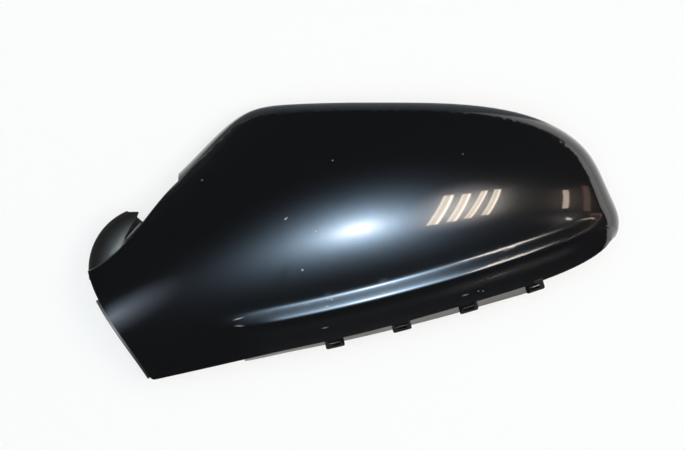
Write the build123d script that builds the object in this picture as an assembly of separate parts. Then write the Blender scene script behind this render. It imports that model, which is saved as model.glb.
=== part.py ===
from build123d import *
import math
import os

# Wing mirror cover, one moulded shell lying on its rim. Sizes in mm.
# X runs from the neck to the outer end, Y up the cover, Z from the rim to the crown.

cover_length = 250.0      # neck's end to outer end
cover_width = 130.0       # neck's lower corner to the upper edge
crown_height = 62.0       # crown of the front above the rim
wall = 2.5                # wall of the moulding

# Front: it falls away from a crown line, above and below it and along the length.
crown_x = 7.0             # place of the crown along the length
crown_bow = 0.0017        # fall along the length, per mm squared
bow_gain = 0.0002         # change of that fall from the neck to the outer end
bow_run = 60.0            # length over which it changes
side_fall = 1.2           # slope that the front tends to above and below the crown line
side_mix = 15.0           # width over which the two sides change over
head_round = 71.0         # how softly the head falls away above the crown line
neck_round = 45.0         # the same at the neck's end
neck_from_x = -25.0       # where the neck starts
neck_run = 95.0           # length over which its rounding comes in
low_round = 66.0          # how softly the front falls away below the crown line
roll_radius = 14.0        # roll between the front and the upper wall
neck_edge_round = 1.2     # rounding of the neck's upper edge
corner_radius = 2.4       # rounding of the neck's lower corner
corner_least = 0.5        # the same inside, where the wall takes the rest
draft = 0.053             # share of the plan's size that the walls lose over 100 mm of height
lean_x = -38.0            # the walls lean towards this place in plan
lean_y = -10.0

# Ledge: a step along the lower third, between two soft corners.
ledge_lift = 0.23         # slope by which the ledge rises on its way down
ledge_soft = 1.3          # softness of its two corners
skirt_turn = 0.2          # slope added below the ledge
ledge_start_x = -75.0
ledge_fade_in = 45.0
ledge_end_x = 128.0
ledge_fade_out = 24.0

# Lip below the skirt, which shows more towards the outer end.
lip_set_in = 0.5          # lip behind the skirt's face
lip_down = 2.5            # start of the lip below the skirt's edge
lip_reach_start = 1.2     # how far it shows at the neck
lip_reach_end = 3.8       # and at the last tab
lip_depth = 9.0
lip_wall = 1.4
lip_start_x = -50.0
edge_depth = 4.5          # wall left standing along the skirt's edge

tab_count = 4
tab_first_x = -8.9
tab_pitch = 30.5
tab_width = 8.8
tab_length = 5.6
tab_wall = 2.0
tab_round = 1.0
tab_down = 1.2            # middle of the tab below the skirt's edge
tab_root = 1.6            # part of the tab inside the skirt
tab_tilt = 35.0           # lean of the tabs, degrees
window_width = 4.8
window_height = 1.7
window_y = -1.9           # middle of the window from the skirt's edge

band_reach = 1.3          # how far the band along the neck's end stands out
band_down = 1.0           # its top below the front's edge
band_wall = 2.0
band_shares = (0.02, 0.15, 0.3, 0.45, 0.57)   # its sections along the neck's end

tongue_radius = 29.2
tongue_wall = 2.2
tongue_x = -93.1          # middle of its dome in plan
tongue_y = -12.9
tongue_top = 33.0         # top of its dome above the rim
tongue_from = 96.0        # where the dome starts, degrees from +X
tongue_turn = 94.0
groove_turn = 52.0        # way of the groove beside the neck's edge, degrees from +X
groove_tilt = 30.0        # lean of its floor
groove_length = 12.0
groove_width = 5.5
groove_floor = 1.4        # wall under it

hook_count = 3
hook_first_x = -28.0
hook_pitch = 46.0
hook_width = 12.0
hook_reach = 2.2
hook_height = 6.0
hook_lift = 2.0           # start of the hooks above the rim
hook_flat = 1.0           # height of their tip
hook_root = 1.0           # part of a hook inside the wall

# Plan, drawn for this length and width and stretched to the cover's own.
drawn_length = 250.0
drawn_width = 130.0
along = cover_length / drawn_length
across = cover_width / drawn_width


def plan(points):
    return [(x * along, y * across) for x, y in points]


# Rim outline: the upper side from the neck to the outer end, then the lower side, then the neck's end.
upper_points = plan([(-126, 6), (-98, 19), (-82.4, 31.1), (-63.4, 50.2), (-48, 61.2), (-30, 64.3),
                     (18.8, 65.2), (65, 62.9), (95.2, 54), (110.2, 42.3), (121, 21.8), (125.2, 8),
                     (123.6, 2.5)])
lower_points = plan([(123.6, 2.5), (115.4, -5.6), (106.4, -11), (89.8, -18), (58.4, -27.9), (27.5, -36.8),
                     (-3.5, -44.7), (-30.7, -50.7), (-67, -59), (-93.7, -65)])
end_points = plan([(-93.7, -65), (-103.5, -50.6), (-114.2, -34.9), (-120, -24.4), (-123.2, -16), (-126, 6)])
neck_points = plan([(-80.8, 27.8), (-91.8, 15.6), (-104.7, -0.5), (-114, -8.9), (-128, -15.5)])

# Opening in the lower wall, as places along the length and heights at its two ends.
opening_neck = [(-80, -8), (-62, 14), (-48, 30)]
opening_edge_x = (-30, 0, 30, 60, 86, 102)
opening_end = [(112, 20), (120, -8)]
opening_back_y = 8.0      # how far back the opening reaches

# Lines along the front in plan, as terms of a power series in x.
crown_line = (5.5, 0.21, -0.0009)
ledge_top = (-22.3, 0.2415, 0.00058)
ledge_foot = (-28.8, 0.236, 0.00064)

# Sections of the front, and the rows of points along them, which are closest at the ledge.
station_first = -140
station_step = 10
station_count = 29
row_steps = (3.6, 1.8, 0, -1.8)
row_edge = 6.0            # rows nearer than this to the ledge belong to it
row_top = 80.0
row_foot = -90.0
rows_above = 10
rows_below = 5


def blend(t):
    t = min(max(t, 0.0), 1.0)
    return t ** 3 * (10 - 15 * t + 6 * t * t)


def ramp(d):
    return 0.5 * (d + math.hypot(d, ledge_soft))


def curve(terms, x):
    return sum(term * x ** i for i, term in enumerate(terms))


def ledge_lines(x):
    """Y of the ledge's upper and lower corner on the drawn plan."""
    top = curve(ledge_top, x)
    return top, curve(ledge_foot, x)


def skin_z(x, y):
    """Height of the front's face at a place in plan."""
    x = x / along
    y = y / across
    aside = y - curve(crown_line, x)
    share = 0.5 + 0.5 * aside / math.hypot(aside, side_mix)
    top_round = head_round + (neck_round - head_round) * blend((neck_from_x - x) / neck_run)
    softness = low_round + (top_round - low_round) * share
    bow = crown_bow + bow_gain * math.tanh((x - crown_x) / bow_run)
    z = crown_height - bow * (x - crown_x) ** 2
    z -= side_fall * (math.hypot(aside, softness) - softness)
    top, foot = ledge_lines(x)
    fade = blend((x - ledge_start_x) / ledge_fade_in) * blend((ledge_end_x - x) / ledge_fade_out)
    drop = curve(crown_line, x) - top
    turn = fade * (side_fall * drop / math.hypot(drop, low_round) + ledge_lift)
    z += turn * ramp(top - y)
    z -= (turn + skirt_turn * fade) * ramp(foot - y)
    return z


def skin_rise(x, y):
    """Z of the front's unit normal at a place in plan."""
    d = 0.05
    slope_x = (skin_z(x + d, y) - skin_z(x - d, y)) / (2 * d)
    slope_y = (skin_z(x, y + d) - skin_z(x, y - d)) / (2 * d)
    return Vector(-slope_x, -slope_y, 1).normalized().Z


def section_rows(x):
    """Y of the points of a section, on the drawn plan."""
    top, foot = ledge_lines(x)
    first = top + row_edge
    last = foot - row_edge
    rows = [row_top + (first - row_top) * i / (rows_above - 1) for i in range(rows_above)]
    rows += [top + step for step in row_steps]
    rows += [foot - step for step in reversed(row_steps)]
    return rows + [last + (row_foot - last) * i / (rows_below - 1) for i in range(rows_below)]


def skin_block(inset):
    """Everything below the front's face, moved in by inset."""
    rows = section_rows(0)
    places = [(rows[0] - y) / (rows[0] - rows[-1]) for y in rows]
    floor_z = -60
    wires = []
    for i in range(station_count):
        x = station_first + station_step * i
        plan_points = plan([(x, y) for y in section_rows(x)])
        points = [Vector(a, b, skin_z(a, b) - inset / skin_rise(a, b)) for a, b in plan_points]
        top = Edge.make_spline(points, parameters=places)
        low_a = Vector(points[-1].X, points[-1].Y, floor_z)
        low_b = Vector(points[0].X, points[0].Y, floor_z)
        corners = [points[-1], low_a, low_b, points[0]]
        lines = [Edge.make_line(a, b) for a, b in zip(corners, corners[1:])]
        wires.append(Wire([top] + lines))
    return Solid.make_loft(wires)


def leaned(x, y, z):
    """A point of the rim outline, moved up its wall to a height."""
    k = 1 - draft * z / 100
    return Vector(lean_x + (x - lean_x) * k, lean_y + (y - lean_y) * k, z)


def outline(z, inset):
    """The three sides of the outline at a height, moved in by inset, as one wire."""
    groups = [[leaned(x, y, z) for x, y in points] for points in (upper_points, lower_points, end_points)]
    sides = [Edge.make_spline(points) for points in groups]
    inward = []
    for side, points in zip(sides, groups):
        tangents = [side.tangent_at(p) for p in points]
        inward.append([Vector(t.Y, -t.X, 0) for t in tangents])
    moved = []
    for i in range(3):
        points = [p + n * inset for p, n in zip(groups[i], inward[i])]
        for end, other, at in ((0, i - 1, -1), (-1, (i + 1) % 3, 0)):
            one = inward[i][end]
            two = inward[other][at]
            points[end] = groups[i][end] + (one + two) * (inset / (1 + one.dot(two)))
        moved.append(Edge.make_spline(points))
    return Wire(moved)


def wall_block(inset):
    return Solid.make_loft([outline(-20, inset), outline(2 * crown_height, inset)], ruled=True)


def form(inset):
    """Solid inside the walls and below the front, from the rim plane up, with its corner and roll rounded."""
    body = skin_block(inset) & wall_block(inset)
    reach = 2 * cover_length
    body = (body & Pos(0, 0, reach / 2) * Box(reach, reach, reach)).solid()
    corner = Vector(*lower_points[-1])
    upright = [e for e in body.edges() if abs((e @ 1 - e @ 0).Z) > crown_height / 4]
    corner_edge = min(upright, key=lambda e: (e @ 0.5 - corner).length)
    body = body.fillet(max(corner_radius - inset, corner_least), [corner_edge])
    front = max(body.faces(), key=lambda f: f.center().Z)
    long_edge = max(front.edges(), key=lambda e: (e @ 0.5).Y)
    return body.fillet(roll_radius - inset, [long_edge])


def hollow(outer, inner):
    """Shell between two forms that stand on the same rim plane."""
    faces = []
    for body in (outer, inner):
        faces += [f for f in body.faces() if f.geom_type != GeomType.PLANE]
    rim = outer.faces().sort_by(Axis.Z)[0] - inner.faces().sort_by(Axis.Z)[0]
    return Solid(Shell(faces + list(rim.faces())))


def side_y(points, x):
    """Y of an outline side at x, straight between its points."""
    ordered = sorted(points)
    for (x0, y0), (x1, y1) in zip(ordered, ordered[1:]):
        if x0 <= x <= x1:
            return y0 + (y1 - y0) * (x - x0) / (x1 - x0)
    return ordered[-1][1]


def edge_above(x, y):
    """Place on the front's edge above a point of the rim outline."""
    place = leaned(x, y, 0)
    for _ in range(8):
        place = leaned(x, y, skin_z(place.X, place.Y))
    return place


def lower_edge(x):
    """Place on the skirt's edge at x."""
    rim_x = x
    for _ in range(8):
        place = edge_above(rim_x, side_y(lower_points, rim_x))
        rim_x += x - place.X
    return place


def strip(stations):
    """Moulded strip through a four-cornered section at each station."""
    return Solid.make_loft([Wire.make_polygon(corners, close=True) for corners in stations])


shell = hollow(form(0), form(wall))

# Neck's upper edge: the wall and the roll stop at a step, and a plain cut edge runs on to the neck's end.
far = cover_length        # well outside the cover
below = -5                # start of the cut, clear of the rim
neck_line = Edge.make_spline([Vector(x, y, below) for x, y in neck_points])
step_x, step_y = neck_points[0]
end_x, end_y = neck_points[-1]
around_points = [(end_x, end_y), (-far, end_y), (-far, far), (step_x, far), (step_x, step_y)]
around = Polyline(*[(x, y, below) for x, y in around_points])
neck_cut = Face(Wire([neck_line] + list(around.edges())))
shell = shell - Solid.extrude(neck_cut, Vector(0, 0, 2 * crown_height))

# The front's edge along that cut is rounded.
front = max(shell.faces(), key=lambda f: f.center().Z)
mid_x, mid_y = neck_points[2]
on_edge = Vector(mid_x, mid_y, skin_z(mid_x, mid_y))
neck_edge = min(front.edges(), key=lambda e: (e @ 0.5 - on_edge).length)
shell = shell.solid().fillet(neck_edge_round, [neck_edge])

# Opening along the lower side, from the neck to the outer end: a short wall stays below the skirt's edge.
edge_x = [x * along for x in opening_edge_x]
opening = [(x, lower_edge(x).Z - edge_depth) for x in edge_x]
opening = [(x * along, z) for x, z in opening_neck] + opening + [(x * along, z) for x, z in opening_end]
opening_top = Edge.make_spline([Vector(x, -far, z) for x, z in opening])
opening_face = Face(Wire([opening_top, Edge.make_line(opening_top @ 1, opening_top @ 0)]))
shell = shell - Solid.extrude(opening_face, Vector(0, far + opening_back_y, 0))

# Lip: a thin flange that runs down steeply from behind the skirt's edge.
lip_end_x = tab_first_x + tab_pitch * (tab_count - 1)
lip_stations = []
lip_steps = 8
for i in range(lip_steps + 1):
    share = i / lip_steps
    place = lower_edge(lip_start_x + (lip_end_x - lip_start_x) * share)
    reach = lip_reach_start + (lip_reach_end - lip_reach_start) * share
    root = place + Vector(0, lip_set_in, -lip_down)
    foot = place + Vector(0, -reach, -lip_down - lip_depth)
    run = (foot - root).normalized()
    back = Vector(0, -run.Z, run.Y) * lip_wall
    lip_stations.append([root, foot, foot + back, root + back])
shell = shell + strip(lip_stations)

# Clip tabs with their windows, hanging from the skirt's edge.
for i in range(tab_count):
    place = lower_edge(tab_first_x + tab_pitch * i)
    ahead = lower_edge(place.X + tab_width) - lower_edge(place.X - tab_width)
    run = Vector(ahead.X, ahead.Y, 0).normalized()
    tilt = math.radians(tab_tilt)
    face_way = Vector(run.Y * math.sin(tilt), -run.X * math.sin(tilt), math.cos(tilt))
    seat = Plane(origin=place - Vector(0, 0, tab_down), x_dir=run, z_dir=face_way)
    tab = Pos(0, tab_root - tab_length / 2, 0) * Box(tab_width, tab_length, tab_wall)
    tab = fillet(tab.edges().filter_by(Axis.Z).group_by(Axis.Y)[0], tab_round)
    tab = tab - Pos(0, window_y, 0) * Box(window_width, window_height, 4 * tab_wall)
    shell = shell + seat * tab

# Band: a narrow ledge that stands out along the neck's end, just below the front's edge.
band_stations = []
end_line = Edge.make_spline([Vector(x, y, 0) for x, y in end_points])
for share in band_shares:
    rim = end_line @ share
    heading = end_line % share
    out = Vector(-heading.Y, heading.X, 0)
    top = edge_above(rim.X, rim.Y) - Vector(0, 0, band_down)
    down = Vector(0, 0, band_wall)
    band_stations.append([top - out * wall / 2, top + out * band_reach, top + out * band_reach - down,
                          top - out * wall / 2 - down])
shell = shell + strip(band_stations)

# Tongue at the neck's end: part of a dome that runs out from under the neck's edge, cut to a leaf shape. Its
# section and its outline are drawn for one radius.
drawn_radius = 29.2
dome_points = [(29.2, -4.6), (27, -2.6), (24, -1.1), (21, -0.3), (18, 0), (15, -0.3)]
tip_points = [(-35, -7.1), (-35, 27.1), (-12.1, 27.1), (-10.4, 26.4), (-6.5, 26.5), (-5.9, 26.1),
              (-6.9, 23.3)]
slot_points = [(-6.9, 23.3), (-10.2, 18.2), (-12.4, 14), (-16, 2), (-16, -7.1)]
tongue_scale = tongue_radius / drawn_radius
dome_outside = [Vector(r, 0, z) * tongue_scale for r, z in dome_points]
dome_line = Edge.make_spline(dome_outside)
dome_turns = [dome_line.tangent_at(p) for p in dome_outside]
dome_depths = [Vector(-t.Z, 0, t.X) * tongue_wall for t in dome_turns]
dome_inside = Edge.make_spline([p + d for p, d in zip(dome_outside, dome_depths)])
dome_ends = [Edge.make_line(dome_line @ 1, dome_inside @ 1), Edge.make_line(dome_inside @ 0, dome_line @ 0)]
dome = revolve(Face(Wire([dome_line, dome_inside] + dome_ends)), Axis.Z, tongue_turn)
leaf_tip = Polyline(*[Vector(x, y, -drawn_radius) * tongue_scale for x, y in tip_points])
leaf_slot = Edge.make_spline([Vector(x, y, -drawn_radius) * tongue_scale for x, y in slot_points])
leaf = Wire(list(leaf_tip.edges()) + [leaf_slot, Edge.make_line(leaf_slot @ 1, leaf_tip @ 0)])
tongue = (Rot(0, 0, tongue_from) * dome) & Solid.extrude(Face(leaf), Vector(0, 0, 2 * drawn_radius))
tongue_place = Pos(tongue_x * along, tongue_y * across, tongue_top)
shell = shell + tongue_place * tongue

# Groove between the tongue and the neck's edge, with a sloping floor.
groove_x, groove_y, groove_z = -8.9, 18.2, -1.4
groove_way = Rot(0, 0, groove_turn) * Rot(-groove_tilt, 0, 0)
groove = Pos(groove_x, groove_y, groove_z) * groove_way * Box(groove_length, groove_width, groove_floor)
shell = shell + tongue_place * groove

# Snap hooks inside the upper wall.
for i in range(hook_count):
    x = hook_first_x + hook_pitch * i
    y = side_y(upper_points, x) - wall
    slant = (hook_height - hook_flat) / 2
    rises = (0, slant, slant + hook_flat, hook_height)
    reaches = (hook_root, -hook_reach, -hook_reach, hook_root)
    corners = [Vector(x - hook_width / 2, y + a, hook_lift + b) for a, b in zip(reaches, rises)]
    hook = Face(Wire.make_polygon(corners, close=True))
    shell = shell + Solid.extrude(hook, Vector(hook_width, 0, 0))

# Origin in the middle of the plan, on the rim plane.
box = shell.bounding_box()
shell = Pos(-box.center().X, -box.center().Y, -box.min.Z) * shell.solid()

os.makedirs("parts", exist_ok=True)
export_step(shell, "parts/mirror_cover_shell.step")
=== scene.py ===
# %% [markdown]
# # A gloss-black wing mirror cover
#
# The cover is one moulding: a rounded head with a stepped crease, a short neck with a curved tongue, and
# four windowed clip tabs along its lower lip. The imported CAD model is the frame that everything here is
# fitted to. This lesson lays it on a white table in a dim room, because black gloss shows little but what
# it mirrors.

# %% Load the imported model
import bpy
import math
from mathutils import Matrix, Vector


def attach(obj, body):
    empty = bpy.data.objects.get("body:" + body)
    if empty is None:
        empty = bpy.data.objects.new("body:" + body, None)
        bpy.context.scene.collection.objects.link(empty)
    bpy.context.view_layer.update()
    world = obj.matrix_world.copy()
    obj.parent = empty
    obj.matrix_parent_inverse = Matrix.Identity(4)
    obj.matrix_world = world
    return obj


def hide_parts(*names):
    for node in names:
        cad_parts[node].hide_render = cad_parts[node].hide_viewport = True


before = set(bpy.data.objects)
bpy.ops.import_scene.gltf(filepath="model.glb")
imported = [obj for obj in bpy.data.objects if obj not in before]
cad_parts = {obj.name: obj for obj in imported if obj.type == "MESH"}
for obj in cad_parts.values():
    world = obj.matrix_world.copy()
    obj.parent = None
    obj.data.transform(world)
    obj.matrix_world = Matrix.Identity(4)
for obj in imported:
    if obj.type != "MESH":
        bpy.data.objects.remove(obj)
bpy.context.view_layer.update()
scene = bpy.context.scene
scene.view_settings.view_transform = "Standard"
MM = 0.001

# %% [markdown]
# ## Camera
#
# The photograph looks straight down on the cover from a good distance, so its edges hardly converge. A long
# lens 1.5 m above the table gives the same flat look. The lens follows from the scale: at the table, one
# millimetre is 2.125 pixels of a picture that is 685 pixels wide.

# %% Camera above the table
PICTURE_WIDTH = 685
PIXELS_PER_MM = 2.125
CAMERA_X, CAMERA_Y, CAMERA_HEIGHT = -5.74, 7.2, 1500     # mm
SENSOR = 36

bpy.ops.object.select_all(action="DESELECT")
bpy.ops.object.camera_add(location=(CAMERA_X * MM, CAMERA_Y * MM, CAMERA_HEIGHT * MM), rotation=(0, 0, 0))
camera = bpy.context.object
camera.name = "camera_above"
camera.data.sensor_width = SENSOR
camera.data.lens = PIXELS_PER_MM * CAMERA_HEIGHT * SENSOR / PICTURE_WIDTH
scene.camera = camera
print("lens, mm:", round(camera.data.lens, 1))

# %% [markdown]
# ## Small helpers
#
# Colours are written as sRGB hex values, as they are read from a picture, and one function turns them into
# the linear values that a renderer works with. A second one adds a node, sets it up and links it, so that a
# material reads from top to bottom. It could be a function for each kind of node, but one is easier to
# learn. A third one starts an empty material.

# %% Colour and node helpers
def linear(hex_colour):
    parts = [int(hex_colour[i:i + 2], 16) / 255 for i in (1, 3, 5)]
    return [c / 12.92 if c <= 0.04045 else ((c + 0.055) / 1.055) ** 2.4 for c in parts] + [1.0]


def add_node(tree, kind, settings=None, **sockets):
    """A node with its settings, and a value or a link for each named input; in_0 means input number 0."""
    node = tree.nodes.new(kind)
    for name, value in (settings or {}).items():
        setattr(node, name, value)
    for name, value in sockets.items():
        key = int(name[3:]) if name.startswith("in_") else name.replace("_", " ")
        if isinstance(value, bpy.types.NodeSocket):
            tree.links.new(value, node.inputs[key])
        else:
            node.inputs[key].default_value = value
    return node


def new_material(name):
    material = bpy.data.materials.new(name)
    material.use_nodes = True
    material.node_tree.nodes.clear()
    return material


print("black gloss starts from", [round(c, 4) for c in linear("#0B0B0C")[:3]])

# %% [markdown]
# ## Table
#
# A plain white table top does two jobs: it is the pale ground of the picture, and it is what every steep
# wall of the cover mirrors, which is why the rolled edges look pale in spite of being black. Part of its
# white is given to camera and mirror rays directly, so that the ground is white without more light on the
# cover, and the rest is ordinary matt paint that keeps the cover's soft shadow.

# %% White table top
TABLE_SIZE = 6.0
TABLE_GAP = 0.0003                 # a hair below the rim, so that the two don't share a plane
WHITE_SHARE = 0.75                 # how much of the table's white doesn't depend on the lamps

bpy.ops.object.select_all(action="DESELECT")
bpy.ops.mesh.primitive_plane_add(size=TABLE_SIZE, location=(0, 0, -TABLE_GAP))
table = bpy.context.object
table.name = "table_top"
table_paint = new_material("white_table_paint_matt")
tree = table_paint.node_tree
ray = add_node(tree, "ShaderNodeLightPath")
seen = add_node(tree, "ShaderNodeMath", {"operation": "MAXIMUM"},
                in_0=ray.outputs["Is Camera Ray"], in_1=ray.outputs["Is Glossy Ray"])
seen = add_node(tree, "ShaderNodeMath", {"operation": "MAXIMUM"},
                in_0=seen.outputs[0], in_1=ray.outputs["Is Transmission Ray"])
share = add_node(tree, "ShaderNodeMath", {"operation": "MULTIPLY"}, in_0=seen.outputs[0], in_1=WHITE_SHARE)
paint = add_node(tree, "ShaderNodeBsdfDiffuse", Color=linear("#F4F1EC"))
white = add_node(tree, "ShaderNodeEmission", Color=linear("#FFFDFA"), Strength=1.0)
table_mix = add_node(tree, "ShaderNodeMixShader", in_0=share.outputs[0], in_1=paint.outputs[0],
                     in_2=white.outputs[0])
add_node(tree, "ShaderNodeOutputMaterial", Surface=table_mix.outputs[0])
table.data.materials.append(table_paint)
print("table top, metres:", TABLE_SIZE)

# %% [markdown]
# ## Room
#
# The room above the table is dim, so the front of the cover, which looks up into it, stays black. A camera
# near the table's height would see past its edge, and for such a view the far backdrop is as white as the
# table.

# %% Dim room with a white backdrop
world = bpy.data.worlds.new("dim_room")
scene.world = world
world.use_nodes = True
tree = world.node_tree
tree.nodes.clear()
ray = add_node(tree, "ShaderNodeLightPath")
room = add_node(tree, "ShaderNodeBackground", Color=linear("#969696"), Strength=0.15)
backdrop = add_node(tree, "ShaderNodeBackground", Color=linear("#FAFAFA"), Strength=1.0)
view = add_node(tree, "ShaderNodeMixShader", in_0=ray.outputs["Is Camera Ray"], in_1=room.outputs[0],
                in_2=backdrop.outputs[0])
add_node(tree, "ShaderNodeOutputWorld", Surface=view.outputs[0])
print("world:", world.name)

# %% [markdown]
# ## Lamps
#
# Every bright shape on the cover is the mirror image of something in the room: an oval softbox overhead, a
# window with a blind, a pale wall beyond the outer end. Blender's area lamps could do it, but a plane that
# glows can also fade from its middle outwards as a real softbox does, so panels are used, and the camera
# doesn't see them.

# %% Glowing panels
def panel(name, place, size, colour, strength, turn=0, tilt=0, fade=0, core=None):
    """A plane facing down, tilted up about Y and turned about Z. With a fade, its glow dies away from the
    middle, where the colour is that of the core, and what is behind it shows through."""
    bpy.ops.object.select_all(action="DESELECT")
    bpy.ops.mesh.primitive_plane_add(size=2, location=place,
                                     rotation=(math.pi, math.radians(tilt), math.radians(turn)))
    obj = bpy.context.object
    obj.name = name
    obj.scale = (size[0] / 2, size[1] / 2, 1)
    obj.visible_camera = False
    glow = new_material(name + "_glow")
    tree = glow.node_tree
    light = add_node(tree, "ShaderNodeEmission", Color=linear(colour), Strength=strength)
    if fade:
        spot = add_node(tree, "ShaderNodeTexCoord")
        out = add_node(tree, "ShaderNodeVectorMath", {"operation": "LENGTH"}, in_0=spot.outputs["Object"])
        power = add_node(tree, "ShaderNodeMath", {"operation": "MULTIPLY"},
                         in_0=out.outputs["Value"], in_1=-fade)
        dying = add_node(tree, "ShaderNodeMath", {"operation": "EXPONENT"}, in_0=power.outputs[0])
        rest = add_node(tree, "ShaderNodeMath", {"operation": "SUBTRACT", "use_clamp": True},
                        in_0=dying.outputs[0], in_1=math.exp(-fade))
        level = add_node(tree, "ShaderNodeMath", {"operation": "MULTIPLY"},
                         in_0=rest.outputs[0], in_1=strength)
        tree.links.new(level.outputs[0], light.inputs["Strength"])
        near = add_node(tree, "ShaderNodeMath", {"operation": "MULTIPLY"},
                        in_0=dying.outputs[0], in_1=dying.outputs[0])
        hue = add_node(tree, "ShaderNodeMix", {"data_type": "RGBA"}, in_0=near.outputs[0],
                       in_6=linear(colour), in_7=linear(core or colour))
        tree.links.new(hue.outputs[2], light.inputs["Color"])
        see_through = add_node(tree, "ShaderNodeBsdfTransparent")
        light = add_node(tree, "ShaderNodeAddShader", in_0=light.outputs[0], in_1=see_through.outputs[0])
    add_node(tree, "ShaderNodeOutputMaterial", Surface=light.outputs[0])
    obj.data.materials.append(glow)
    return obj


CEILING = 2.5                      # metres
lamps = [
    panel("softbox", (-0.06, -0.03, CEILING + 0.02), (3.8, 6.5), "#BFE1FF", 37, turn=18, fade=8,
          core="#FFF0DC"),
    panel("neck_side_light", (-2.1, -0.85, CEILING), (1.5, 2.4), "#D2E4FA", 5.0, fade=2.2),
    panel("pale_wall", (3.0, 1.27, 0.61), (1.2, 4.55), "#FFFBF7", 1.5, tilt=90)]
print("lamps so far:", [lamp.name for lamp in lamps])

# %% [markdown]
# ## The window with a blind
#
# To the right of the softbox's image the cover mirrors a window: four slats of warm daylight, each with two
# brighter edges, in a soft glow. The slats could be a striped pattern on one panel; four real strips are
# simpler to set apart and lean one by one. Two narrow strips and a dim brown one beyond them make the marks
# near the outer end.

# %% Slats, glow and the strips at the outer end
SLATS = [                          # x, y, width and length in metres, lean in degrees
    (0.700, 0.18, 0.125, 1.11, -2.0), (0.900, 0.184, 0.110, 1.06, -2.9),
    (1.088, 0.24, 0.085, 1.07, -5.3), (1.266, 0.278, 0.092, 1.03, -4.4)]
SLAT_EDGES = [("right", 0.3, 26), ("left", -0.36, 17)]   # side, place as a share of the width, strength
EDGE_SHARE = 0.22                  # an edge's width as a share of the slat's
EDGE_DROP = 0.002                  # metres that an edge hangs below its slat

for number, (x, y, width, length, lean) in enumerate(SLATS, 1):
    panel(f"slat_{number}", (x, y, CEILING), (width, length), "#FFEDDC", 12, turn=lean)
    for side, across, strength in SLAT_EDGES:
        panel(f"slat_{number}_{side}_edge", (x + across * width, y, CEILING - EDGE_DROP),
              (EDGE_SHARE * width, length), "#FFF3DF", strength, turn=lean)
panel("window_glow", (0.93, 0.22, CEILING + 0.01), (1.25, 2.1), "#F6F6FF", 7, fade=1.5)
panel("outer_strip", (2.295, 0.234, CEILING), (0.10, 0.85), "#FFE9D4", 9)
panel("outer_strip_low", (2.42, -0.70, CEILING), (0.16, 0.2), "#FFF6F0", 16)
panel("brown_strip", (2.66, 0.27, CEILING), (0.12, 1.2), "#FFCAB3", 1.3)
print("slats:", len(SLATS), "with edges:", len(SLAT_EDGES) * len(SLATS))

# %% [markdown]
# ## A grey card
#
# The roll along the top edge looks darker than the one at the outer end. A grey card laid beyond it is
# painted shade in that roll's mirror image. It takes part in mirror images only: the camera doesn't see it,
# and it throws no shadow.

# %% Grey card beyond the top edge
CARD_PLACE, CARD_SIZE = (-0.01, 0.52, 0.002), (0.22, 0.9)


# Lays a card that only mirror images show; both cards are painted shade in the cover's reflections.
def lay_card(name, place, size, paper):
    bpy.ops.object.select_all(action="DESELECT")
    bpy.ops.mesh.primitive_plane_add(size=1, location=place)
    obj = bpy.context.object
    obj.name = name
    obj.scale = (*size, 1)
    bpy.ops.object.transform_apply(location=False, rotation=False, scale=True)
    obj.visible_camera = False
    obj.visible_diffuse = False
    obj.visible_shadow = False
    obj.data.materials.append(paper)
    print(obj.name, "metres:", size)


# Painted shade: a grey sheet that only mirror images show, darkening the top roll.
top_shade_paper = new_material("grey_card_paper")
tree = top_shade_paper.node_tree
paper = add_node(tree, "ShaderNodeBsdfDiffuse", Color=linear("#7C7A78"))
add_node(tree, "ShaderNodeOutputMaterial", Surface=paper.outputs[0])
lay_card("painted_shade_top_card", CARD_PLACE, CARD_SIZE, top_shade_paper)

# %% [markdown]
# ## A card that grows darker
#
# Along the upper left edge the roll fades softly from pale to black, because the ground it mirrors there
# gets less light the further it is from the lamps. A second card, clear near the cover and dark further
# away, is painted shade for that falloff. Painting the table darker would do it too, but then the ground
# would not be white.

# %% Fading card beyond the upper left edge
FADE_PLACE, FADE_SIZE = (-1.2, 1.35, 0.004), (3.6, 3.2)
FADE_WAY = (-0.8, 0.6, 0)          # the direction in which it gets darker
FADE_FROM, FADE_TO = 0.08, 0.33    # metres from the origin along that direction
FADE_MOST = 0.92                   # how much of the table it hides where it is darkest

falloff_shade_paper = new_material("fading_card_paper")
tree = falloff_shade_paper.node_tree
spot = add_node(tree, "ShaderNodeTexCoord")
along = add_node(tree, "ShaderNodeVectorMath", {"operation": "DOT_PRODUCT"}, in_0=spot.outputs["Object"],
                 in_1=FADE_WAY)
start = FADE_PLACE[0] * FADE_WAY[0] + FADE_PLACE[1] * FADE_WAY[1]
cover_share = add_node(tree, "ShaderNodeMapRange", Value=along.outputs["Value"], From_Min=FADE_FROM - start,
                       From_Max=FADE_TO - start, To_Min=0.0, To_Max=FADE_MOST)
clear_card = add_node(tree, "ShaderNodeBsdfTransparent")
# Painted shade: the dark card stands in for the ground getting less light away from the lamps.
painted_shade_bsdf = add_node(tree, "ShaderNodeBsdfDiffuse", Color=linear("#2C2B2A"))
card_mix = add_node(tree, "ShaderNodeMixShader", in_0=cover_share.outputs[0], in_1=clear_card.outputs[0],
                    in_2=painted_shade_bsdf.outputs[0])
add_node(tree, "ShaderNodeOutputMaterial", Surface=card_mix.outputs[0])
lay_card("painted_shade_fading_card", FADE_PLACE, FADE_SIZE, falloff_shade_paper)

# %% [markdown]
# ## The front's own formula
#
# The CAD model draws the front by a formula: a crown line with a fall to each side, and a ledge between two
# soft corners. Black gloss is a mirror, and a mirror shows every facet. The formula gives the true
# direction of the front at any point, so it is repeated here, in millimetres on the drawn plan, to shade
# the mesh by.

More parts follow.
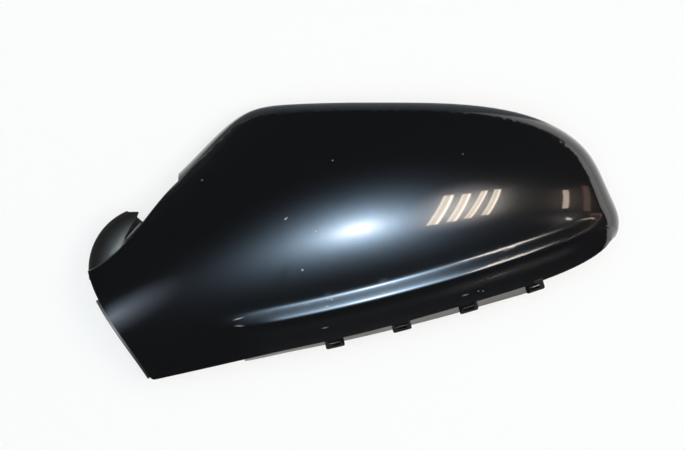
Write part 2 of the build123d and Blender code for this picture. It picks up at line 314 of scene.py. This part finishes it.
# %% Height of the front
DRAWN_ORIGIN = (0.746, 0.260)      # the model's origin on the drawn plan
CROWN_LINE = (5.5, 0.21, -0.0009)  # a line on the plan: its y at x = 0, its slope there and its bend
LEDGE_TOP = (-22.3, 0.2415, 0.00058)
LEDGE_FOOT = (-28.8, 0.236, 0.00064)
CROWN_X, CROWN_HEIGHT = 7, 62
BOW, MORE_BOW, BOW_LENGTH = 0.0017, 0.0002, 60           # along the crown, and more of it at the outer end
SIDE_FALL = 1.2                    # the slope that both sides of the crown turn to
LOW_ROUND, TOP_ROUND = 66, 71      # how softly they turn to it, below and above the crown
NECK_LESS, NECK_X_FROM, NECK_LENGTH = 26, -25, 95        # what the upper one loses towards the neck
SIDES_MEET = 15                    # how wide the change from the lower to the upper one is
LEDGE_SOFT = 1.3                   # how round the ledge's two corners are
LEDGE_START, LEDGE_GROWS = -75, 45
LEDGE_END, LEDGE_FADES = 128, 24
LEDGE_TURN, SKIRT_TURN = 0.23, 0.2                       # slopes, of the ledge and of the skirt below it


def ease(t):
    t = min(max(t, 0), 1)
    return t ** 3 * (10 - 15 * t + 6 * t * t)


def ramp(d):
    return 0.5 * (d + math.hypot(d, LEDGE_SOFT))


def line_y(line, x):
    start, slope, bend = line
    return start + slope * x + bend * x * x


def front_height(x, y):
    crown_y = line_y(CROWN_LINE, x)
    aside = y - crown_y
    share = 0.5 + 0.5 * aside / math.hypot(aside, SIDES_MEET)
    top_round = TOP_ROUND - NECK_LESS * ease((NECK_X_FROM - x) / NECK_LENGTH)
    softness = LOW_ROUND + (top_round - LOW_ROUND) * share
    bow = BOW + MORE_BOW * math.tanh((x - CROWN_X) / BOW_LENGTH)
    z = CROWN_HEIGHT - bow * (x - CROWN_X) ** 2 - SIDE_FALL * (math.hypot(aside, softness) - softness)
    fade = ease((x - LEDGE_START) / LEDGE_GROWS) * ease((LEDGE_END - x) / LEDGE_FADES)
    drop = crown_y - line_y(LEDGE_TOP, x)
    turn = fade * (SIDE_FALL * drop / math.hypot(drop, LOW_ROUND) + LEDGE_TURN)
    below_top = ramp(line_y(LEDGE_TOP, x) - y)
    below_foot = ramp(line_y(LEDGE_FOOT, x) - y)
    return z + turn * below_top - (turn + SKIRT_TURN * fade) * below_foot


print("height at the crown, mm:", round(front_height(CROWN_X, line_y(CROWN_LINE, CROWN_X)), 2))

# %% [markdown]
# ## A little more lean on the ledge
#
# In the photograph the flat of the ledge is dimmer than its two bright corners, so it leans back further
# than the CAD model's. A lift that grows across the ledge and dies away down the skirt gives that lean,
# about a millimetre at most, and leaves the front's edges where they are.

# %% The front as it is shown
LEAN, MORE_LEAN = 0.07, 0.08       # slope, at the neck and what is added towards the outer end
MORE_FROM, MORE_GROWS = 20, 50     # where the added lean starts, and its way to full, mm
LEAN_END, LEAN_FADES = 112, 20
SKIRT = 9                          # mm below the ledge in which the lift dies away
SLOPE_STEP = 0.05                  # mm


def shown_height(x, y):
    below_foot = line_y(LEDGE_FOOT, x) - y
    more = MORE_LEAN * ease((x - MORE_FROM) / MORE_GROWS)
    fade = ease((x - LEDGE_START) / LEDGE_GROWS) * ease((LEAN_END - x) / LEAN_FADES)
    lift = ramp(line_y(LEDGE_TOP, x) - y) - ramp(below_foot)
    return front_height(x, y) + (LEAN + more) * fade * lift * (1 - ease(below_foot / SKIRT))


def front_normal(x, y):
    rise_x = shown_height(x + SLOPE_STEP, y) - shown_height(x - SLOPE_STEP, y)
    rise_y = shown_height(x, y + SLOPE_STEP) - shown_height(x, y - SLOPE_STEP)
    return Vector((-rise_x, -rise_y, 2 * SLOPE_STEP)).normalized()


print("lift in the middle of the ledge, mm:", round(shown_height(10, -26) - front_height(10, -26), 2))

# %% [markdown]
# ## The moulding
#
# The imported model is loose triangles. A copy of it is merged into one skin, and everything that follows is
# done to that copy, so that the CAD model's own mesh stays as it is.

# %% One merged skin
MERGE = 0.002                      # mm

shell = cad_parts["mirror_cover_shell"]
cover = bpy.data.objects.new("mirror_cover", shell.data.copy())
scene.collection.objects.link(cover)
bpy.ops.object.select_all(action="DESELECT")
bpy.context.view_layer.objects.active = cover
cover.select_set(True)
bpy.ops.object.mode_set(mode="EDIT")
bpy.ops.mesh.select_all(action="SELECT")
bpy.ops.mesh.customdata_custom_splitnormals_clear()
bpy.ops.mesh.remove_doubles(threshold=MERGE * MM)
bpy.ops.mesh.select_all(action="DESELECT")
bpy.ops.object.mode_set(mode="OBJECT")
print("merged points:", len(cover.data.vertices), "triangles:", len(cover.data.polygons))

# %% [markdown]
# ## The end of the groove
#
# A groove runs between the neck's edge and the tongue, and at its lower end the CAD model leaves a slit
# that one can see through. On the real moulding the tongue's own surface runs on there, and a narrow strip
# of it also lies between the groove and the neck's edge. Two small plates are set level with the tongue,
# their edges are rounded, and a Boolean union makes them part of the skin. Stretching the mesh round the
# slit would bend the neck's edge.

# %% Plates at the groove
PLATES = [                         # length along the groove, width, thickness; place; turn about X, Y, Z
    ((6.4, 4.4, 1.4), (-107.2, -1.6, 32.2), (-9, 0, 52)),
    ((10.4, 1.3, 1.4), (-102.0, 4.4, 32.8), (-9, 1.5, 48))]
PLATE_ROUND = 0.4                  # mm

for size, middle, turn in PLATES:
    bpy.ops.object.select_all(action="DESELECT")
    bpy.ops.mesh.primitive_cube_add(size=1, location=[v * MM for v in middle],
                                    rotation=[math.radians(a) for a in turn], scale=[v * MM for v in size])
    plate = bpy.context.object
    bpy.ops.object.transform_apply(location=True, rotation=True, scale=True)
    bpy.ops.object.mode_set(mode="EDIT")
    bpy.ops.mesh.select_all(action="SELECT")
    bpy.ops.mesh.bevel(offset=PLATE_ROUND * MM, segments=3, affect="EDGES")
    bpy.ops.object.mode_set(mode="OBJECT")
    bpy.ops.object.select_all(action="DESELECT")
    bpy.context.view_layer.objects.active = cover
    cover.select_set(True)
    union = cover.modifiers.new("plate_union", "BOOLEAN")
    union.operation = "UNION"
    union.object = plate
    union.solver = "EXACT"
    bpy.ops.object.modifier_apply(modifier=union.name)
    bpy.data.objects.remove(plate)
print("points with the plates:", len(cover.data.vertices), "faces:", len(cover.data.polygons))

# %% [markdown]
# ## Where the roll runs out
#
# At the lower outer corner the rolled edge turns into a plain one within a few millimetres, and the packed
# mesh is uneven there. On the moulding the one flows into the other. Smoothing only the points near that
# corner makes them more even, as a stroke of fine paper would.

# %% Smooth the corner
CORNER_PLACE, CORNER_REACH = (118.0, 1.2, 35.2), 5.5     # mm
FRONT_END = 115.6                  # x up to which the front keeps its own shape, mm
CORNER_PASSES = 24

corner = Vector([v * MM for v in CORNER_PLACE])
bpy.ops.object.mode_set(mode="EDIT")
bpy.ops.mesh.select_mode(type="VERT")
bpy.ops.mesh.select_all(action="DESELECT")
bpy.ops.object.mode_set(mode="OBJECT")
for vertex in cover.data.vertices:
    vertex.select = (vertex.co - corner).length < CORNER_REACH * MM and vertex.co.x > FRONT_END * MM
bpy.ops.object.mode_set(mode="EDIT")
bpy.ops.mesh.vertices_smooth(factor=0.5, repeat=CORNER_PASSES)
print("points smoothed:", cover.data.total_vert_sel)
bpy.ops.mesh.select_all(action="DESELECT")
bpy.ops.object.mode_set(mode="OBJECT")

# %% [markdown]
# ## A finer front
#
# The front could be drawn afresh from its formula, but then its edges would have to be fitted again. Its
# own triangles are divided instead, and each point is set on the formula. A point belongs to the front if
# it is very near to the formula, or rather near with the same direction.

# %% Points that belong to the front
ON_FRONT, NEAR_FRONT = 0.02, 0.15  # mm
SAME_WAY = math.radians(6)
NECK_END, TONGUE_REACH = -122, 25  # x where the tongue starts, and how far it goes from there, mm
NECK_EDGE = (-13.4, 0.42, 0.0207)  # the neck's curved edge, as a line from where the tongue starts


def drawn(point):
    return point.x / MM + DRAWN_ORIGIN[0], point.y / MM + DRAWN_ORIGIN[1]


def on_tongue(point):
    """Beyond the neck's curved edge, where the tongue's dome passes through the formula by chance."""
    along = point.x / MM - NECK_END
    return along < TONGUE_REACH and point.y / MM > line_y(NECK_EDGE, along)


def is_front(vertex, height):
    off = abs(vertex.co.z / MM - height(*drawn(vertex.co)))
    same_way = off < NEAR_FRONT and vertex.normal.angle(front_normal(*drawn(vertex.co))) < SAME_WAY
    return (off < ON_FRONT or same_way) and not on_tongue(vertex.co)


mesh = cover.data
on_front = [is_front(v, front_height) for v in mesh.vertices]
print("points on the front:", sum(on_front))

# %% Divide the front
FRONT_CUTS = 1
LOOKS_UP = 0.3                     # least z of the direction of a face on the front

for face in mesh.polygons:
    face.select = all(on_front[i] for i in face.vertices) and face.normal.z > LOOKS_UP
before = len(mesh.vertices)
bpy.ops.object.mode_set(mode="EDIT")
bpy.ops.mesh.select_mode(type="FACE")
bpy.ops.mesh.subdivide(number_cuts=FRONT_CUTS)
bpy.ops.mesh.select_all(action="SELECT")
bpy.ops.mesh.quads_convert_to_tris()
bpy.ops.mesh.select_all(action="DESELECT")
bpy.ops.object.mode_set(mode="OBJECT")
moved = 0
for vertex in mesh.vertices:
    if vertex.index >= before or on_front[vertex.index]:
        height = shown_height(*drawn(vertex.co)) * MM
        moved = max(moved, abs(height - vertex.co.z))
        vertex.co.z = height
print("points:", before, "->", len(mesh.vertices), "triangles:", len(mesh.polygons))
print("most moved, mm:", round(moved / MM, 3))

# %% [markdown]
# ## Smooth shading
#
# The moulding is polished, so its faces are shaded smooth, with a sharp edge only where they meet at more
# than 40 degrees, at the rim, the lip and the tabs. Averaged directions would still ripple along the ledge,
# where the triangles are long, so every corner on the front takes the formula's direction.

# %% Directions on the front
SHARP = math.radians(40)

bpy.ops.object.select_all(action="DESELECT")
cover.select_set(True)
bpy.ops.object.shade_smooth_by_angle(angle=SHARP)
true_normals = {}
for vertex in mesh.vertices:
    if is_front(vertex, shown_height):
        true_normals[vertex.index] = front_normal(*drawn(vertex.co))
corner_normals = []
for loop in mesh.loops:
    shown = mesh.corner_normals[loop.index].vector
    true = true_normals.get(loop.vertex_index)
    corner_normals.append(true if true and true.angle(shown) < SHARP else shown.copy())
mesh.normals_split_custom_set(corner_normals)
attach(cover, "root")
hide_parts("mirror_cover_shell")
print("points with the formula's direction:", len(true_normals))

# %% [markdown]
# ## Wear marks and two painted highlights
#
# The cover has been handled: a few specks of dust, a nick and scuffs along the skirt. Two pale strokes
# where the crease starts are painted highlights, the glints of the ledge's two corners, kept in the same
# list. They could be drawn in a texture picture, but each is only a small oval, so a list gives their
# places on the front and their sizes in millimetres, and a Mapping node for each one turns Object
# coordinates into that oval.

# %% Places of specks, scuffs and two painted highlights
MARKS = [                          # x, y, half length, half width, turn in degrees, how pale
    (-10.3, 36.5, 0.5, 0.4, 0, 0.7), (-70.2, 27.8, 0.5, 0.4, 0, 0.7), (-17.7, 4.5, 0.55, 0.5, 0, 1.0),
    (-23.8, -13.1, 0.75, 0.65, 0, 1.0), (48.9, 39.4, 0.4, 0.3, 0, 0.6), (-31.3, 10.1, 1.2, 0.5, 40, 1.0),
    # The ovals at x -53.0 and -52.6 are painted highlights: the glints of the ledge's two corners where the
    # crease starts.
    (-10.6, -26.5, 0.9, 0.45, 15, 0.8), (-12.8, -29.7, 1.5, 0.4, 12, 0.8), (-53.0, -35.4, 3.4, 0.4, 16, 0.6),
    (-52.6, -38.7, 2.8, 0.4, 2, 0.5), (-13.7, -39.6, 2.0, 0.35, 12, 0.4), (50.1, -24.7, 2.2, 0.45, 15, 0.3),
    (56.2, -22.9, 0.6, 0.4, 0, 0.35), (58.3, -22.9, 0.7, 0.4, 20, 0.3)]
HANDLED = [                        # the same, but dulled and not pale
    (93.0, 2.5, 20, 7.5, 20, 2.0), (-32.8, -15.5, 6, 2.6, 62, 0.7)]
MARK_DEPTH, HANDLED_DEPTH = 2, 40  # mm

gloss = new_material("gloss_black_abs_moulded")
tree = gloss.node_tree
place = add_node(tree, "ShaderNodeTexCoord").outputs["Object"]


def ovals(marks, depth):
    """How far inside any of the ovals a point is, from 0 at their edges."""
    most = None
    for x, y, half_length, half_width, turn, share in marks:
        height = shown_height(x + DRAWN_ORIGIN[0], y + DRAWN_ORIGIN[1])
        oval = add_node(tree, "ShaderNodeMapping", {"vector_type": "TEXTURE"}, Vector=place,
                        Location=(x * MM, y * MM, height * MM), Rotation=(0, 0, math.radians(turn)),
                        Scale=(half_length * MM, half_width * MM, depth * MM))
        out = add_node(tree, "ShaderNodeVectorMath", {"operation": "LENGTH"}, in_0=oval.outputs[0])
        inside = add_node(tree, "ShaderNodeMath", {"operation": "SUBTRACT", "use_clamp": True},
                          in_0=1.0, in_1=out.outputs["Value"])
        inside = add_node(tree, "ShaderNodeMath", {"operation": "MULTIPLY", "use_clamp": True},
                          in_0=inside.outputs[0], in_1=share)
        if most:
            inside = add_node(tree, "ShaderNodeMath", {"operation": "MAXIMUM"},
                              in_0=most.outputs[0], in_1=inside.outputs[0])
        most = inside
    return most


wear_and_painted_glints = ovals(MARKS, MARK_DEPTH)
handled = ovals(HANDLED, HANDLED_DEPTH)
print("marks:", len(MARKS), "patches dulled by handling:", len(HANDLED))

# %% [markdown]
# ## Gloss black ABS
#
# The real cover is ABS with a polished gloss: a deep black body under a clear skin that mirrors about a
# twentieth of what it faces. A Principled shader with a full coat gives that. A slight roughness under the
# coat spreads a glow round each bright image, finger grease dulls the skin in soft patches, and dust and
# scuffs take the shine away and show pale. The same pale colour is a painted highlight in the two ovals
# where the crease starts.

# %% The gloss, its grease and its marks
GREASE_SIZE = 9                    # mm across one soft patch
GRAIN_SIZE = 0.8                   # mm, break-up within a scuff
MARK_GAIN = 3.0                    # makes up for what the break-up takes away

grain = add_node(tree, "ShaderNodeTexNoise", Vector=place, Scale=1 / (GRAIN_SIZE * MM), Detail=2.0)
broken = add_node(tree, "ShaderNodeMath", {"operation": "MULTIPLY"},
                  in_0=wear_and_painted_glints.outputs[0], in_1=grain.outputs["Fac"])
mark = add_node(tree, "ShaderNodeMath", {"operation": "MULTIPLY", "use_clamp": True},
                in_0=broken.outputs[0], in_1=MARK_GAIN)
grease = add_node(tree, "ShaderNodeTexNoise", Vector=place, Scale=1 / (GREASE_SIZE * MM), Detail=4.0,
                  Roughness=0.6)
dulled = add_node(tree, "ShaderNodeMapRange", Value=grease.outputs["Fac"], From_Min=0.45, From_Max=0.75,
                  To_Min=1.0, To_Max=0.86)
clear = add_node(tree, "ShaderNodeMath", {"operation": "SUBTRACT"}, in_0=1.0, in_1=mark.outputs[0])
coat = add_node(tree, "ShaderNodeMath", {"operation": "MULTIPLY"},
                in_0=dulled.outputs[0], in_1=clear.outputs[0])
unhandled = add_node(tree, "ShaderNodeMapRange", Value=handled.outputs[0], To_Min=1.0, To_Max=0.15)
coat = add_node(tree, "ShaderNodeMath", {"operation": "MULTIPLY"},
                in_0=coat.outputs[0], in_1=unhandled.outputs[0])
body_roughness = add_node(tree, "ShaderNodeMapRange", Value=mark.outputs[0], To_Min=0.2, To_Max=0.6)
# Pale for dust and scuffs, and a painted highlight in the two ovals where the crease starts.
body_colour = add_node(tree, "ShaderNodeMix", {"data_type": "RGBA"}, in_0=mark.outputs[0],
                       in_6=linear("#0B0B0C"), in_7=linear("#A9A7A2"))
plastic = add_node(tree, "ShaderNodeBsdfPrincipled", Base_Color=body_colour.outputs[2],
                   Roughness=body_roughness.outputs[0], IOR=1.5, Specular_IOR_Level=0.4,
                   Coat_Weight=coat.outputs[0], Coat_Roughness=0.03)
add_node(tree, "ShaderNodeOutputMaterial", Surface=plastic.outputs[0])
mesh.materials.clear()
mesh.materials.append(gloss)
print("nodes in the gloss:", len(tree.nodes))

# %% [markdown]
# ## Satin black ABS
#
# Only the outside of the mould is polished. The inside, the lip with its tabs, the neck's cut edge and the
# tongue come out of the mould satin, so they show soft greys in place of mirror images. A second material
# on those faces of the same piece gives that, with the fine grain that spark erosion leaves on steel and so
# on the plastic.

# %% The satin
SPARK_GRAIN = 0.5                  # mm; the real grain is finer, and is drawn this coarse so that it shows
PIT_DEPTH = 0.02                   # mm

satin = new_material("satin_black_abs_moulded")
tree = satin.node_tree
place = add_node(tree, "ShaderNodeTexCoord").outputs["Object"]
grain = add_node(tree, "ShaderNodeTexNoise", Vector=place, Scale=1 / (SPARK_GRAIN * MM), Detail=3.0)
dull = add_node(tree, "ShaderNodeMapRange", Value=grain.outputs["Fac"], To_Min=0.32, To_Max=0.45)
pits = add_node(tree, "ShaderNodeBump", Strength=0.15, Distance=PIT_DEPTH * MM, Height=grain.outputs["Fac"])
plastic = add_node(tree, "ShaderNodeBsdfPrincipled", Base_Color=linear("#161615"), Roughness=dull.outputs[0],
                   IOR=1.5, Specular_IOR_Level=0.8, Specular_Tint=linear("#FFF0DE"), Normal=pits.outputs[0])
add_node(tree, "ShaderNodeOutputMaterial", Surface=plastic.outputs[0])
mesh.materials.append(satin)
print("nodes in the satin:", len(tree.nodes))

# %% The faces that are satin
NECK_X, LIP_X, LIP_Y = -88, 105, -4                      # the neck's end, and the corner of the lip, mm
SKIN_NEAR = 0.3                    # mm from the formula, within which a face is still the polished front
LOOKS_DOWN, STEEP = -0.1, 0.35     # z of a face's direction

satin_faces = 0
for face in mesh.polygons:
    x, y = face.center.x / MM, face.center.y / MM
    off = abs(face.center.z / MM - shown_height(*drawn(face.center)))
    polished = face.normal.z > LOOKS_UP and off < SKIN_NEAR and not on_tongue(face.center)
    inward = face.normal.z < STEEP and face.normal.x * x + face.normal.y * y < 0
    at_edge = x < NECK_X or (x < LIP_X and y < LIP_Y)
    if not polished and (face.normal.z < LOOKS_DOWN or inward or at_edge):
        face.material_index = 1
        satin_faces += 1
print("satin faces:", satin_faces, "of", len(mesh.polygons))
